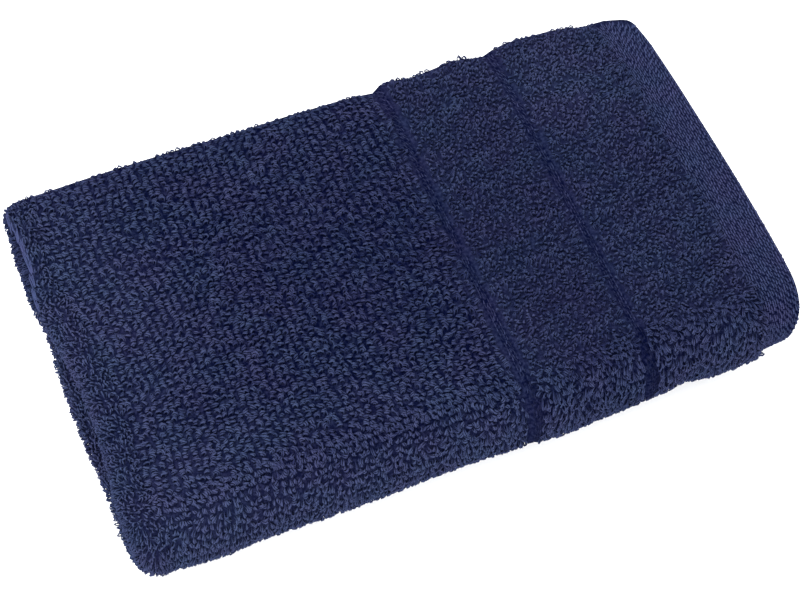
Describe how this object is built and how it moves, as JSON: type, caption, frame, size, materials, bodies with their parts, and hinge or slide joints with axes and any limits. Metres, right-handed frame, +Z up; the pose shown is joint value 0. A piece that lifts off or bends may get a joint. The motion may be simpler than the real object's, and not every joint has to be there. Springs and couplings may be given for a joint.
{
  "type": "washcloth",
  "caption": "Dark blue terry washcloth, folded in half twice into a thick flat stack with one hemmed end showing.",
  "frame": {"origin": "middle of the folded stack's base, on the surface that it rests on", "axes": "+X along the folded length towards the hemmed end, +Y across towards the open selvedges, +Z up"},
  "size_m": [0.2528, 0.1484, 0.0383],
  "materials": {
    "terry": "dark blue cotton terry, uncut loop pile with a flat woven hem and border lines"
  },
  "bodies": {
    "root": {"washcloth": "terry"}
  },
  "joints": []
}
